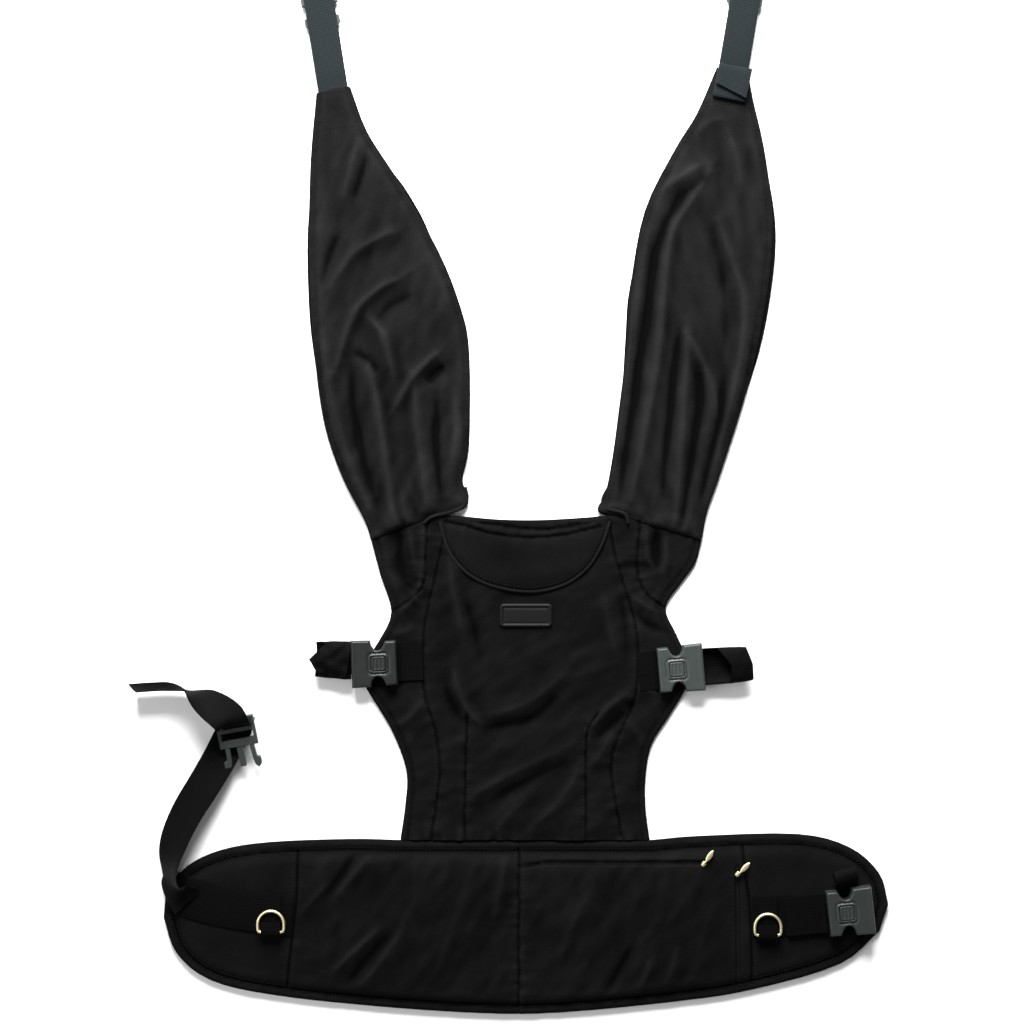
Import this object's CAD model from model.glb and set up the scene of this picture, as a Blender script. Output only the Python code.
"""The looks of a soft baby carrier laid out flat: padded cloth, webbing, buckles, rings and zips.

Outlines, folds and seams are in millimetres in the frame's own plan (X, Y), heights above the floor too.
"""

import math

import bmesh
import bpy
import numpy as np
from mathutils import Matrix, Vector, geometry, noise


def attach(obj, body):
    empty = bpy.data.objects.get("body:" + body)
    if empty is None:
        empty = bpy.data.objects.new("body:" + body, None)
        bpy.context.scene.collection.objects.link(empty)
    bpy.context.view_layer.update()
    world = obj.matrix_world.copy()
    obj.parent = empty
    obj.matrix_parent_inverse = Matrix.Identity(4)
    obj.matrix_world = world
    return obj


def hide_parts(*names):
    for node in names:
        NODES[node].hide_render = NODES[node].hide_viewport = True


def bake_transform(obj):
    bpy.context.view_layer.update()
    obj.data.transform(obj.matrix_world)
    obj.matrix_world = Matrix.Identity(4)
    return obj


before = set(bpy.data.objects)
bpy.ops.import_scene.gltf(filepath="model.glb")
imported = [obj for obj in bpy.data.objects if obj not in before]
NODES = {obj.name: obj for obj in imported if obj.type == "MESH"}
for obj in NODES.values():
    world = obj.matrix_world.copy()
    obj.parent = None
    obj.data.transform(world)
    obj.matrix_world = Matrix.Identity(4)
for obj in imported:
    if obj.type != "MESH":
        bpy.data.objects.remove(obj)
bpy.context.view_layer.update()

MM = 0.001
# The spacing of the points on padded cloth
STEP = 2.4

# Heights of the sewn layers' tops, and the thickness of the webbing
BELT_TOP = 11.0
PANEL_TOP = 6.2
STRAP_TOP = 10.6
WEBBING_THICK = 1.5

# Fold lines between bodies
LEFT_WING_X, RIGHT_WING_X, CENTRE_SEAM_X = -232.0, 224.0, -6.0
PANEL_Y, NECK_FLAP_Y = 84.3, 404.0

# The width of the belt's rolled border
BORDER = 9.0

# Folds: how deep they are, how sharp their crests are and how blunt their ends are
FOLD_GAIN, FOLD_POWER, FOLD_ENDS = 2.0, 1.3, 0.42
# The rows of points laid beside a seam
SEAM_ROWS = (-2.6, -1.2, 0.0, 1.2, 2.6)
# Tones of creases: how widely the height round a point is averaged, and how strongly a difference shows
TONE_ROUNDS, TONE_GAIN = 20, 0.26
# Stitches: the length of each, the gap to the next and the radius of the thread
STITCH, STITCH_GAP, THREAD_RADIUS = 2.2, 1.4, 0.33


# ---------- plane geometry ----------

def smooth(points, steps=4):
    """A Catmull-Rom curve through open points."""
    rows = [Vector(p) for p in points]
    ends = [2 * rows[0] - rows[1], *rows, 2 * rows[-1] - rows[-2]]
    out = []
    for a, b, c, d in zip(ends, ends[1:], ends[2:], ends[3:]):
        for k in range(steps):
            t = k / steps
            out.append(0.5 * (2 * b + (c - a) * t + (2 * a - 5 * b + 4 * c - d) * t ** 2
                              + (3 * b - a - 3 * c + d) * t ** 3))
    return out + [rows[-1]]


def joined(*runs):
    """One closed outline from runs laid end to end, each shared end point kept once."""
    out = []
    for run in runs:
        for p in run:
            p = Vector(p[:2])
            if not out or (p - out[-1]).length > 0.5:
                out.append(p)
    if (out[0] - out[-1]).length < 0.5:
        out.pop()
    return out


def clipped(outline, axis, limit, keep_above):
    """The part of an outline on one side of a line at right angles to an axis."""
    sign = 1 if keep_above else -1
    out = []
    for a, b in zip(outline, outline[1:] + outline[:1]):
        side_a, side_b = sign * (a[axis] - limit), sign * (b[axis] - limit)
        if side_a >= 0:
            out.append(a)
        if side_a * side_b < 0:
            out.append(a.lerp(b, side_a / (side_a - side_b)))
    return out


def resampled(line, step, closed=False):
    """Points at an even spacing along a line, as an array."""
    rows = np.array([tuple(p) for p in line], float)
    if closed:
        rows = np.vstack([rows, rows[:1]])
    lengths = np.concatenate([[0], np.cumsum(np.linalg.norm(np.diff(rows, axis=0), axis=1))])
    count = max(2, int(round(lengths[-1] / step)) + 1)
    at = np.linspace(0, lengths[-1], count)
    out = np.stack([np.interp(at, lengths, rows[:, k]) for k in range(rows.shape[1])], axis=1)
    return out[:-1] if closed else out


def from_line(points, line):
    """For each point: distance to a line, share of the way along it, and the side (1 is left of it)."""
    rows = plan(line)
    best = np.full(len(points), 1e9)
    along = np.zeros(len(points))
    side = np.ones(len(points))
    lengths = np.linalg.norm(np.diff(rows, axis=0), axis=1)
    starts = np.concatenate([[0], np.cumsum(lengths)])
    for a, b, start, length in zip(rows, rows[1:], starts, lengths):
        if length < 1e-9:
            continue
        way = (b - a) / length
        rel = points - a
        t = np.clip(rel @ way, 0, length)
        off = rel - t[:, None] * way
        distance = np.hypot(off[:, 0], off[:, 1])
        near = distance < best
        best[near] = distance[near]
        along[near] = (start + t[near]) / starts[-1]
        side[near] = np.sign(way[0] * rel[near, 1] - way[1] * rel[near, 0])
    return best, along, side


def inside(points, outline):
    """Which points an outline holds."""
    rows = np.array([tuple(p) for p in outline], float)
    x, y = points[:, 0], points[:, 1]
    held = np.zeros(len(points), bool)
    for (ax, ay), (bx, by) in zip(rows, np.roll(rows, -1, axis=0)):
        if ay == by:
            continue
        crosses = (ay > y) != (by > y)
        held ^= crosses & (x < (bx - ax) * (y - ay) / (by - ay) + ax)
    return held


# ---------- cloth relief ----------

def swell(t):
    """A quarter-circle rise from 0 to 1."""
    t = np.clip(t, 0, 1)
    return np.sqrt(1 - (1 - t) ** 2)


def fold_relief(points, folds):
    """The sum of folds, each a line with a height, a width on its left and a width on its right."""
    total = np.zeros(len(points))
    for line, height, left, right in folds:
        distance, along, side = from_line(points, smooth(line))
        width = np.where(side > 0, left, right)
        fade = np.sin(np.pi * np.clip(along, 0.02, 0.98)) ** FOLD_ENDS
        total += FOLD_GAIN * height * np.exp(-(distance / width) ** FOLD_POWER) * fade
    return total


def seam_relief(points, seams, depth, width):
    """A groove along each seam."""
    total = np.zeros(len(points))
    for line in seams:
        distance, _, _ = from_line(points, line)
        total = np.minimum(total, -depth * np.exp(-(distance / width) ** 2))
    return total


def waves_at(u, v, seed):
    """Soft noise at many places."""
    return np.array([noise.noise(Vector((a, b, seed))) for a, b in zip(u, v)])


def ripple(points, size, turn, stretch, seed):
    """Soft uneven waves, longer along one direction."""
    c, s = math.cos(math.radians(turn)), math.sin(math.radians(turn))
    x, y = points[:, 0], points[:, 1]
    return waves_at((c * x + s * y) / (size * stretch), (c * y - s * x) / size, seed)


def puckers(points, seams, height, size, reach, seed):
    """Short wrinkles that run out from seams and fade away."""
    total = np.zeros(len(points))
    for index, line in enumerate(seams):
        rows = plan(line)
        length = np.linalg.norm(np.diff(rows, axis=0), axis=1).sum()
        distance, along, side = from_line(points, rows)
        near = distance < 4 * reach
        away = side[near] * 0.8 + distance[near] / (6 * size)
        wave = waves_at(along[near] * length / size, away, seed + 2.3 * index)
        total[near] += height * wave * np.exp(-distance[near] / reach)
    return total


def soft_form(name, outline, low, edge, relief, seams=(), rings=(0.7, 1.8, 3.4, 5.5), step=None):
    """A closed cloth form: an underside at low, a thin edge, and a top at the height that relief gives.

    Relief is a function of points and their distances to the edge. Rings are the depths of the rows of
    points that follow the edge.
    """
    step = step or STEP
    border = resampled(outline, step, closed=True)
    inward = inward_of(border)
    closed_border = np.vstack([border, border[:1]])
    loose = []
    for depth in rings:
        ring = border + inward * depth
        distance, _, _ = from_line(ring, closed_border)
        loose.append(ring[(distance > depth * 0.85) & inside(ring, border)])
    low_x, low_y = border.min(0)
    high_x, high_y = border.max(0)
    xs, ys = np.arange(low_x, high_x, step), np.arange(low_y, high_y, step * 0.866)
    grid = np.array([(x + (step / 2 if j % 2 else 0), y) for j, y in enumerate(ys) for x in xs])
    distance, _, _ = from_line(grid, closed_border)
    grid = grid[(distance > rings[-1] + step * 0.45) & inside(grid, border)]
    for line in seams:
        row = resampled(line, step * 0.9)
        across = left_of(row)
        distance, _, _ = from_line(grid, row)
        grid = grid[distance > SEAM_ROWS[-1] + step * 0.45]
        for off in SEAM_ROWS:
            shifted = row + across * off
            distance, _, _ = from_line(shifted, closed_border)
            shifted = shifted[(distance > rings[-1] + step * 0.3) & inside(shifted, border)]
            if len(shifted):
                loose.append(shifted)
    flat = np.vstack([border, *loose, grid])
    flat = flat[np.sort(np.unique(np.round(flat / 0.35), axis=0, return_index=True)[1])]
    count = len(border)
    edges = [(k, (k + 1) % count) for k in range(count)]
    corners = [Vector(p) for p in flat]
    made, _, faces, _, _, _ = geometry.delaunay_2d_cdt(corners, edges, [list(range(count))], 1, 1e-4)
    points = np.array([tuple(p) for p in made])
    to_edge, _, _ = from_line(points, closed_border)
    top = relief(points, to_edge)
    under = low + edge * (1 - swell(to_edge / 5.0)) * 0.5
    on_edge = to_edge < 1e-3
    top = np.where(on_edge, np.maximum(low + edge, top), np.maximum(top, under + 0.6))
    total = len(points)
    verts = np.vstack([np.column_stack([points, top]), np.column_stack([points, under])])
    upper = [list(f) if turns_left(points, f) else list(f)[::-1] for f in faces]
    lower = [[k + total for k in f[::-1]] for f in upper]
    mesh = mesh_of(name, verts, upper + lower + walls(upper, total))
    set_tone(mesh, np.concatenate([crease_tone(top, upper), np.full(total, 0.5)]))
    return shown(mesh)


def mesh_of(name, verts, faces):
    """A smooth-shaded mesh from points in millimetres."""
    mesh = bpy.data.meshes.new(name)
    mesh.from_pydata([tuple(v) for v in np.array(verts) * MM], [], faces)
    mesh.update()
    mesh.shade_smooth()
    return mesh


def set_tone(mesh, values):
    """Stores how sunk (under 0.5) or raised (over 0.5) the cloth is at each point, for its colour."""
    tone = mesh.attributes.new("crease", "FLOAT", "POINT")
    tone.data.foreach_set("value", values)


def unit(rows):
    return rows / np.maximum(np.linalg.norm(rows, axis=-1), 1e-9)[..., None]


def plan(points):
    """Points as an array of X and Y."""
    return np.array([tuple(p)[:2] for p in points], float)


def left_of(row):
    """Unit vectors to the left of each point of an open line."""
    along = np.gradient(row, axis=0)
    return unit(np.stack([-along[:, 1], along[:, 0]], axis=1))


def inward_of(border):
    """Unit vectors from each point of a closed outline to its inside."""
    ahead = np.roll(border, -1, axis=0) - np.roll(border, 1, axis=0)
    return unit(np.stack([-ahead[:, 1], ahead[:, 0]], axis=1)) * turning(border)


def in_frame(x, y, degrees, z=0.0):
    """The matrix of a place in the plan, given in millimetres and degrees."""
    return Matrix.Translation((x * MM, y * MM, z * MM)) @ Matrix.Rotation(math.radians(degrees), 4, "Z")


def heading(degrees, across=False):
    """The unit vector along a direction in the plan, or the one at right angles on its left."""
    turn = math.radians(degrees)
    if across:
        return Vector((-math.sin(turn), math.cos(turn), 0))
    return Vector((math.cos(turn), math.sin(turn), 0))


def turning(border):
    """1 for an outline that runs anticlockwise, -1 for one that runs clockwise."""
    after = np.roll(border, -1, axis=0)
    return 1 if np.sum(border[:, 0] * after[:, 1] - after[:, 0] * border[:, 1]) > 0 else -1


def turns_left(points, face):
    a, b, c = (points[k] for k in face[:3])
    return (b[0] - a[0]) * (c[1] - a[1]) - (b[1] - a[1]) * (c[0] - a[0]) > 0


def walls(upper, total):
    """Faces that join the rims of the top and the underside."""
    seen = {(a, b) for face in upper for a, b in zip(face, face[1:] + face[:1])}
    return [[b, a, a + total, b + total] for a, b in sorted(seen) if (b, a) not in seen]


def crease_tone(top, faces):
    """0.5 on even cloth, less in creases and more on ridges, from heights above the surroundings."""
    pairs = np.array(sorted({(min(a, b), max(a, b)) for f in faces for a, b in zip(f, f[1:] + f[:1])}))
    links = np.bincount(pairs.ravel(), minlength=len(top))
    level = top.copy()
    for _ in range(TONE_ROUNDS):
        total = np.bincount(pairs[:, 0], level[pairs[:, 1]], len(top))
        total += np.bincount(pairs[:, 1], level[pairs[:, 0]], len(top))
        level = 0.4 * level + 0.6 * total / np.maximum(links, 1)
    return np.clip(0.5 + (top - level) * TONE_GAIN, 0, 1)


def shown(mesh):
    made = bpy.data.objects.new(mesh.name, mesh)
    bpy.context.scene.collection.objects.link(made)
    return made


def thick_grid(name, rows, thickness, look, looped=False):
    """A sheet through rows of points in millimetres, given a thickness and closed all round."""
    grid = np.array([[tuple(p) for p in row] for row in rows], float)
    along = np.roll(grid, -1, 0) - np.roll(grid, 1, 0) if looped else np.gradient(grid, axis=0)
    normal = unit(np.cross(along, np.gradient(grid, axis=1)))
    m, n = grid.shape[:2]
    thin = np.ones(n)
    thin[0] = thin[-1] = 0.55
    offset = normal * (thickness / 2) * thin[None, :, None]
    verts = np.vstack([(grid + offset).reshape(-1, 3), (grid - offset).reshape(-1, 3)])
    count = m * n
    faces = []
    for i in range(m if looped else m - 1):
        here, after = i * n, (i + 1) % m * n
        for k in range(n - 1):
            faces.append((here + k, after + k, after + k + 1, here + k + 1))
            faces.append((count + here + k, count + here + k + 1, count + after + k + 1, count + after + k))
        faces.append((here, here + count, after + count, after))
        faces.append((here + n - 1, after + n - 1, after + n - 1 + count, here + n - 1 + count))
    if not looped:
        last = (m - 1) * n
        for k in range(n - 1):
            faces.append((k, k + 1, k + 1 + count, k + count))
            faces.append((last + k, last + k + count, last + k + 1 + count, last + k + 1))
    mesh = mesh_of(name, verts, faces)
    bm = bmesh.new()
    bm.from_mesh(mesh)
    bmesh.ops.recalc_face_normals(bm, faces=bm.faces)
    bm.to_mesh(mesh)
    bm.free()
    mesh.shade_smooth()
    mesh.set_sharp_from_angle(angle=math.radians(50))
    return dress(shown(mesh), look)


# Places across a strip, from its lower side to its upper side
ACROSS = (-1, -0.9, -0.6, -0.3, 0, 0.3, 0.6, 0.9, 1)


def strip_rows(route, sideways, width, bow=0.0):
    """Rows of points across a strip that follows a route; bow lowers or raises its two edges."""
    route = [Vector(p) for p in route]
    rows = []
    for k, (here, side) in enumerate(zip(route, sideways)):
        along = (route[min(k + 1, len(route) - 1)] - route[max(k - 1, 0)]).normalized()
        across = Vector(side)
        across = (across - along * across.dot(along)).normalized()
        up = along.cross(across).normalized()
        rows.append([here + across * (t * width / 2) + up * (bow * t * t) for t in ACROSS])
    return rows


def stitches(name, lines, height):
    """Rows of thread lying on a surface whose height at any points is given."""
    starts, ends = [], []
    for line in lines:
        row = resampled(line, STITCH + STITCH_GAP)
        for a, b in zip(row, row[1:]):
            starts.append(a)
            ends.append(a + (b - a) * STITCH / (STITCH + STITCH_GAP))
    starts, ends = np.array(starts)[:, :2], np.array(ends)[:, :2]
    sides, verts, faces = 5, [], []
    spots = [starts, (starts + ends) / 2, ends]
    levels = [height(spot) for spot in spots]
    for k in range(len(starts)):
        way = unit(ends[k] - starts[k])
        for spot, level, swollen in zip(spots, levels, (0.45, 1.0, 0.45)):
            for j in range(sides):
                turn = 2 * math.pi * j / sides
                side = math.cos(turn) * THREAD_RADIUS * swollen
                up = math.sin(turn) * THREAD_RADIUS * swollen
                verts.append((spot[k][0] - way[1] * side, spot[k][1] + way[0] * side, level[k] + 0.12 + up))
        base = k * 3 * sides
        for ring in (0, sides):
            lower, upper = base + ring, base + ring + sides
            for j in range(sides):
                after = (j + 1) % sides
                faces.append((lower + j, lower + after, upper + after, upper + j))
        faces.append([base + j for j in range(sides)][::-1])
        faces.append([base + 2 * sides + j for j in range(sides)])
    return dress(shown(mesh_of(name, verts, faces)), THREAD)


def beside(line, offset):
    """A line moved sideways by an offset, to the left where it is positive."""
    row = resampled(line, 4.0)
    return row + left_of(row) * offset


def ringed(outline, depth):
    """A closed outline moved inwards, ending where it starts."""
    border = resampled(outline, 3.0, closed=True)
    ring = border + inward_of(border) * depth
    distance, _, _ = from_line(ring, np.vstack([border, border[:1]]))
    ring = ring[(distance > depth * 0.93) & inside(ring, border)]
    return np.vstack([ring, ring[:1]])


# ---------- materials ----------

# A wave texture's scale times the width of one of its bands
WAVE_SCALE = 0.32
# The shares of a cloth's colour in its deepest creases and on its ridges
CREASE_DARK, CREASE_LIGHT = 0.15, 1.85


def node_material(name):
    made = bpy.data.materials.new(name)
    made.use_nodes = True
    tree = made.node_tree
    return made, tree, tree.nodes["Principled BSDF"]


def linked(tree, kind, inputs=None, **settings):
    """A node with its settings and inputs, where an input is a socket or a value."""
    node = tree.nodes.new(kind)
    for key, value in settings.items():
        setattr(node, key, value)
    for key, value in (inputs or {}).items():
        if isinstance(value, bpy.types.NodeSocket):
            tree.links.new(value, node.inputs[key])
        else:
            node.inputs[key].default_value = value
    return node


def noise_of(tree, place, scale, detail):
    node = linked(tree, "ShaderNodeTexNoise", {"Vector": place, "Scale": scale, "Detail": detail})
    return node.outputs["Fac"]


def waves_of(tree, place, direction, width, distortion, **inputs):
    """Bands of one width, in millimetres, that follow one another along a direction."""
    inputs = {"Vector": place, "Scale": WAVE_SCALE / (width * MM), "Distortion": distortion, **inputs}
    return linked(tree, "ShaderNodeTexWave", inputs, bands_direction=direction).outputs["Fac"]


def mixed(tree, share, one, other):
    return linked(tree, "ShaderNodeMix", {"Factor": share, 2: one, 3: other}).outputs[0]


def shaded(tree, value, low, high, dark, light):
    """A colour between two shades, from a value between two limits."""
    ramp = linked(tree, "ShaderNodeValToRGB", {"Fac": value})
    for element, position, shade in zip(ramp.color_ramp.elements, (low, high), (dark, light)):
        element.position = position
        element.color = (*shade, 1)
    return ramp.outputs["Color"]


def roughened(tree, shader, value, low, high):
    rough = linked(tree, "ShaderNodeMapRange", {"Value": value, "To Min": low, "To Max": high})
    tree.links.new(rough.outputs["Result"], shader.inputs["Roughness"])


def bumped(tree, height, strength, distance, under=None):
    inputs = {"Height": height, "Strength": strength, "Distance": distance}
    if under is not None:
        inputs["Normal"] = under
    return linked(tree, "ShaderNodeBump", inputs).outputs["Normal"]


def turned_place(tree, turn, scale=(1, 1, 1)):
    place = linked(tree, "ShaderNodeTexCoord").outputs["Object"]
    mapping = linked(tree, "ShaderNodeMapping", {"Vector": place, "Scale": scale})
    mapping.inputs["Rotation"].default_value = (0, 0, math.radians(turn))
    return mapping.outputs["Vector"]


def cloth_material(name, dark, light, thread=0.9, turn=45, roughness=0.9, creased=False):
    """Woven cloth: crossing threads, uneven yarns, slow changes of tone, and tones that follow creases."""
    made, tree, shader = node_material(name)
    place = turned_place(tree, turn)
    waves = [waves_of(tree, place, direction, thread, 1.2, **{"Detail": 1.0, "Detail Scale": 3.0})
             for direction in ("X", "Y")]
    weave = linked(tree, "ShaderNodeMath", {0: waves[0], 1: waves[1]}, operation="MULTIPLY").outputs[0]
    yarn = noise_of(tree, place, 900.0, 3.0)
    slow = noise_of(tree, place, 22.0, 4.0)
    grain = mixed(tree, 0.5, weave, yarn)
    colour = shaded(tree, mixed(tree, 0.45, grain, slow), 0.25, 0.72, dark, light)
    if creased:
        crease = linked(tree, "ShaderNodeAttribute", attribute_name="crease").outputs["Fac"]
        share = linked(tree, "ShaderNodeMapRange", {"Value": crease, "From Min": 0.1, "From Max": 0.9,
                                                    "To Min": CREASE_DARK, "To Max": CREASE_LIGHT})
        scaled = linked(tree, "ShaderNodeVectorMath", {0: colour, "Scale": share.outputs["Result"]},
                        operation="SCALE")
        colour = scaled.outputs["Vector"]
    tree.links.new(colour, shader.inputs["Base Color"])
    roughened(tree, shader, slow, roughness - 0.06, roughness + 0.08)
    lumps = bumped(tree, noise_of(tree, place, 160.0, 5.0), 0.28, 0.0012)
    tree.links.new(bumped(tree, grain, 0.35, 0.0005, lumps), shader.inputs["Normal"])
    shader.inputs["Sheen Weight"].default_value = 0.01
    shader.inputs["Sheen Roughness"].default_value = 0.45
    shader.inputs["Specular IOR Level"].default_value = 0.03
    return made


def webbing_material(name, dark, light, turn):
    """Ribbed polyester tape whose ribs run across its length."""
    made, tree, shader = node_material(name)
    place = turned_place(tree, -turn)
    ribs = waves_of(tree, place, "X", 1.6, 0.6, Detail=1.0)
    cords = waves_of(tree, place, "Y", 2.2, 0.4)
    grain = mixed(tree, 0.3, mixed(tree, 0.35, ribs, cords), noise_of(tree, place, 700.0, 3.0))
    tree.links.new(shaded(tree, grain, 0.2, 0.8, dark, light), shader.inputs["Base Color"])
    tree.links.new(bumped(tree, grain, 0.5, 0.0006), shader.inputs["Normal"])
    shader.inputs["Roughness"].default_value = 0.66
    shader.inputs["Sheen Weight"].default_value = 0.004
    shader.inputs["Specular IOR Level"].default_value = 0.03
    return made


def mottled(tree, shader, value, colour, share):
    """A base colour that changes slowly towards a darker shade of itself."""
    darker = tuple(v * share for v in colour)
    tone = linked(tree, "ShaderNodeMix", {"Factor": value, 6: (*darker, 1), 7: (*colour, 1)},
                  data_type="RGBA")
    tree.links.new(tone.outputs[2], shader.inputs["Base Color"])


def plastic_material(name, colour, roughness=0.42, gloss=0.3):
    """Moulded plastic with a fine spark-eroded grain and worn, slightly glossier patches."""
    made, tree, shader = node_material(name)
    place = turned_place(tree, 0)
    slow = noise_of(tree, place, 90.0, 4.0)
    mottled(tree, shader, slow, colour, 0.82)
    roughened(tree, shader, slow, roughness - 0.08, roughness + 0.1)
    tree.links.new(bumped(tree, noise_of(tree, place, 1800.0, 2.0), 0.15, 0.0002), shader.inputs["Normal"])
    shader.inputs["Specular IOR Level"].default_value = gloss
    return made


def metal_material(name, colour):
    """Plated metal with faint scuffs."""
    made, tree, shader = node_material(name)
    scuff = noise_of(tree, turned_place(tree, 30, (1, 8, 1)), 260.0, 5.0)
    mottled(tree, shader, scuff, colour, 0.8)
    roughened(tree, shader, scuff, 0.34, 0.52)
    tree.links.new(bumped(tree, scuff, 0.08, 0.0002), shader.inputs["Normal"])
    shader.inputs["Metallic"].default_value = 1.0
    return made


CLOTH = cloth_material("black_canvas", (0.0012, 0.0012, 0.0012), (0.0052, 0.0050, 0.0049), creased=True)
STRAP_CLOTH = cloth_material("strap_canvas", (0.0024, 0.0024, 0.0024),
                             (0.0088, 0.0089, 0.0087), creased=True)
BINDING = cloth_material("edge_binding", (0.003, 0.003, 0.003), (0.011, 0.0105, 0.0105), thread=0.7, turn=0)
THREAD = cloth_material("stitch_thread", (0.004, 0.004, 0.004), (0.014, 0.014, 0.014), 0.4, roughness=0.6)
PLASTIC = plastic_material("buckle_plastic", (0.016, 0.0185, 0.0175))
DIM_PLASTIC = plastic_material("buckle_plastic_dim", (0.0082, 0.0097, 0.0091))
MID_PLASTIC = plastic_material("buckle_plastic_mid", (0.0175, 0.021, 0.0198))
PALE_PLASTIC = plastic_material("buckle_plastic_pale", (0.029, 0.035, 0.033))
GOLD = metal_material("pale_gold", (1.0, 0.90, 0.56))
RUBBER = plastic_material("patch_rubber", (0.004, 0.004, 0.004), 0.55, 0.1)
ZIP_COIL = plastic_material("zip_coil", (0.004, 0.004, 0.004), 0.5, 0.15)
# Webbing's dark and light shades, and the direction that each tape runs in
DARK_TAPE = ((0.0005, 0.0005, 0.0005), (0.0019, 0.0019, 0.0019))
DEEP_TAPE = ((0.0006, 0.0006, 0.0006), (0.0022, 0.0022, 0.0022))
BLUISH_TAPE = ((0.004, 0.0055, 0.006), (0.013, 0.0175, 0.019))
TAPES = {name: webbing_material(f"tape_{name}", *shades, turn) for name, shades, turn in (
    ("shoulder_left", BLUISH_TAPE, 99), ("shoulder_right", BLUISH_TAPE, 80.5),
    ("side_left", DARK_TAPE, 2.5),
    ("side_right", DARK_TAPE, 5), ("belt_left", DARK_TAPE, 168), ("belt_sewn", DARK_TAPE, 3),
    ("belt_right", DARK_TAPE, 6), ("belt_free", DEEP_TAPE, 60), ("tab", DARK_TAPE, 90),
    ("elastic_left", DARK_TAPE, 92), ("elastic_right", DARK_TAPE, 95), ("elastic_belt", DARK_TAPE, 98))}


def dress(obj, look):
    obj.data.materials.clear()
    obj.data.materials.append(look)
    return obj


def dress_node(name, look, bevel=None):
    """Gives a CAD node a finished material, and rounds its edges where asked."""
    obj = NODES[name]
    for place in obj.material_slots:
        place.material = look
    if bevel:
        weld = obj.modifiers.new("Weld", "WELD")
        weld.merge_threshold = 0.00001
        rounded = obj.modifiers.new("Bevel", "BEVEL")
        rounded.width = bevel * MM
        rounded.segments = 2
        rounded.limit_method = "ANGLE"
        rounded.angle_limit = math.radians(40)


# ---------- the belt ----------

BELT_LOWER = [(-362, 7), (-349, -29), (-315, -56), (-254, -70.6), (-151, -82), (-45, -89), (35, -88.5),
              (155, -77), (230, -65), (315, -40), (355, -7)]
BELT_UPPER = [(364, 20), (355, 51), (325, 77), (273, 90), (175, 88), (128, PANEL_Y - 0.3)]
BELT_UPPER_LEFT = [(-128, PANEL_Y - 0.3), (-175, 85), (-255, 82), (-305, 74), (-340, 57), (-360, 32)]
BELT = joined(smooth(BELT_LOWER), smooth(BELT_UPPER), smooth(BELT_UPPER_LEFT))
BELT_SEAMS = [
    smooth([(-227, 76), (-228, 32), (-230, 10), (-234, -25), (-238, -62)]),
    [(CENTRE_SEAM_X, 84), (CENTRE_SEAM_X, -88)],
    smooth([(217, 82), (221, 45), (225, 15), (227, -56)]),
]
POCKET_SLIT = [(-6, 59), (20, 63), (75, 62.5), (155, 63), (179, 63)]
SIDE_SLIT = [(212, 58), (212.5, 0), (213, -58)]
# Rows of stitches beside the seams and slits, with how far each lies to the left
BELT_ROWS = {
    "left": [(BELT_SEAMS[0], -2.8), (BELT_SEAMS[0], 2.8)],
    "right": [(BELT_SEAMS[1], 2.8), (BELT_SEAMS[2], 3), (SIDE_SLIT, -4.5), (POCKET_SLIT, 4.0),
              (POCKET_SLIT, -4.0)],
}
# Half the width over which the cloth bends where a wing folds
# Folds, here and below: points, height, width on the left and width on the right
BELT_FOLDS = [
    ([(-150, 76), (-170, 52), (-190, 28)], 2.6, 7, 4),
    ([(-166, 78), (-186, 48), (-204, 24)], -2.0, 5, 6),
    ([(-196, 44), (-214, 24), (-229, 6)], 2.2, 6, 4),
    ([(-145, -2), (-168, -22), (-194, -48)], 2.4, 7, 4),
    ([(-126, -8), (-145, -36), (-166, -62)], 2.4, 8, 4),
    ([(-137, -10), (-156, -32), (-178, -58)], -2.0, 4, 5),
    ([(-18, 78), (-24, 42), (-31, 4)], 1.8, 5, 7),
    ([(-48, 70), (-62, 30), (-80, -20)], 1.4, 14, 8),
    ([(-95, 60), (-118, 10), (-140, -40)], 1.2, 12, 10),
    ([(108, -18), (96, -40), (81, -68)], -2.4, 5, 6),
    ([(126, -32), (120, -50), (112, -68)], 2.2, 5, 5),
    ([(152, -18), (146, -42), (139, -66)], 1.8, 6, 5),
    ([(60, 30), (42, -10), (30, -60)], 1.2, 14, 9),
    ([(190, 30), (178, -8), (168, -50)], 1.2, 9, 9),
]


def belt_relief(points, to_edge):
    """A rolled border, a stitched groove inside it, and the padded body, flatter on the two wings."""
    groove = 4.2
    roll = groove + 3.4 * np.sqrt(np.clip(1 - ((to_edge - 4.6) / 4.7) ** 2, 0, 1))
    middle = np.exp(-((points[:, 0] + 8) / 212.0) ** 10)
    body = groove + (BELT_TOP - 1.0 + middle - groove) * swell((to_edge - BORDER) / 13.0)
    puff = 3.0 * swell((to_edge - 12) / 45.0) * middle
    quiet = np.clip((to_edge - BORDER) / 12, 0, 1) * (0.22 + 0.78 * middle)
    waves = 2.6 * ripple(points, 24, 60, 2.8, 3.1) + 1.2 * ripple(points, 10, 60, 2.2, 7.7)
    waves += puckers(points, BELT_SEAMS[:2], 2.4, 7.0, 9.0, 31.0)
    inner = body + puff + fold_relief(points, BELT_FOLDS) * quiet + waves * quiet
    inner += seam_relief(points, BELT_SEAMS, 2.6, 1.5)
    inner += seam_relief(points, [POCKET_SLIT], 3.0, 1.7) + seam_relief(points, [SIDE_SLIT], 2.6, 1.8)
    edge_waves = 0.5 * ripple(points, 12, 90, 1.0, 51.0)
    return np.where(to_edge < BORDER, roll + edge_waves, inner)


def belt_height(points):
    rows = plan(points)
    to_edge, _, _ = from_line(rows, list(BELT) + [BELT[0]])
    return belt_relief(rows, to_edge)


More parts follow.
